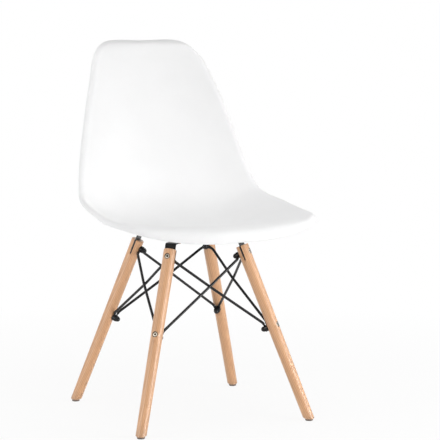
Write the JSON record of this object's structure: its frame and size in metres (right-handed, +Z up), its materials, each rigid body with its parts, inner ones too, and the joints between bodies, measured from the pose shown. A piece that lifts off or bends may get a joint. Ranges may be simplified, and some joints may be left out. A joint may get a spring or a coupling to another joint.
{
  "type": "dining chair",
  "caption": "Armless dining chair: white moulded bucket seat on splayed round wooden legs tied by crossed black steel rods.",
  "frame": {"origin": "on the floor, under the middle of the chair's bounding box", "axes": "+Z up from the floor; -Y is the way the sitter faces; +X is the sitter's left"},
  "size_m": [0.4809, 0.518, 0.8233],
  "materials": {
    "shell_plastic": "satin white polypropylene",
    "leg_wood": "clear satin lacquer on beech",
    "black_steel": "satin black powder coat",
    "bare_steel": "zinc plated",
    "bush_brass": "plain",
    "glide_plastic": "grey-brown translucent"
  },
  "bodies": {
    "root": {"seat_shell": "shell_plastic", "boss_bushes": "bush_brass", "seat_washers": "bare_steel", "seat_screws": "bare_steel", "cross_bar": "black_steel", "cross_arm_front": "black_steel", "cross_arm_rear": "black_steel", "cross_welds": "black_steel", "leg_front_left": "leg_wood", "leg_front_right": "leg_wood", "leg_rear_left": "leg_wood", "leg_rear_right": "leg_wood", "glide_front_left": "glide_plastic", "glide_front_right": "glide_plastic", "glide_rear_left": "glide_plastic", "glide_rear_right": "glide_plastic", "glide_nails": "bare_steel", "upper_bolts": "bare_steel", "upper_spacers": "black_steel", "upper_cap_nuts": "black_steel", "lower_bolts": "bare_steel", "lower_spacers": "black_steel", "lower_cap_nuts": "black_steel", "brace_rod_front_left": "black_steel", "brace_rod_front_right": "black_steel", "brace_rod_rear_left": "black_steel", "brace_rod_rear_right": "black_steel"}
  },
  "joints": []
}
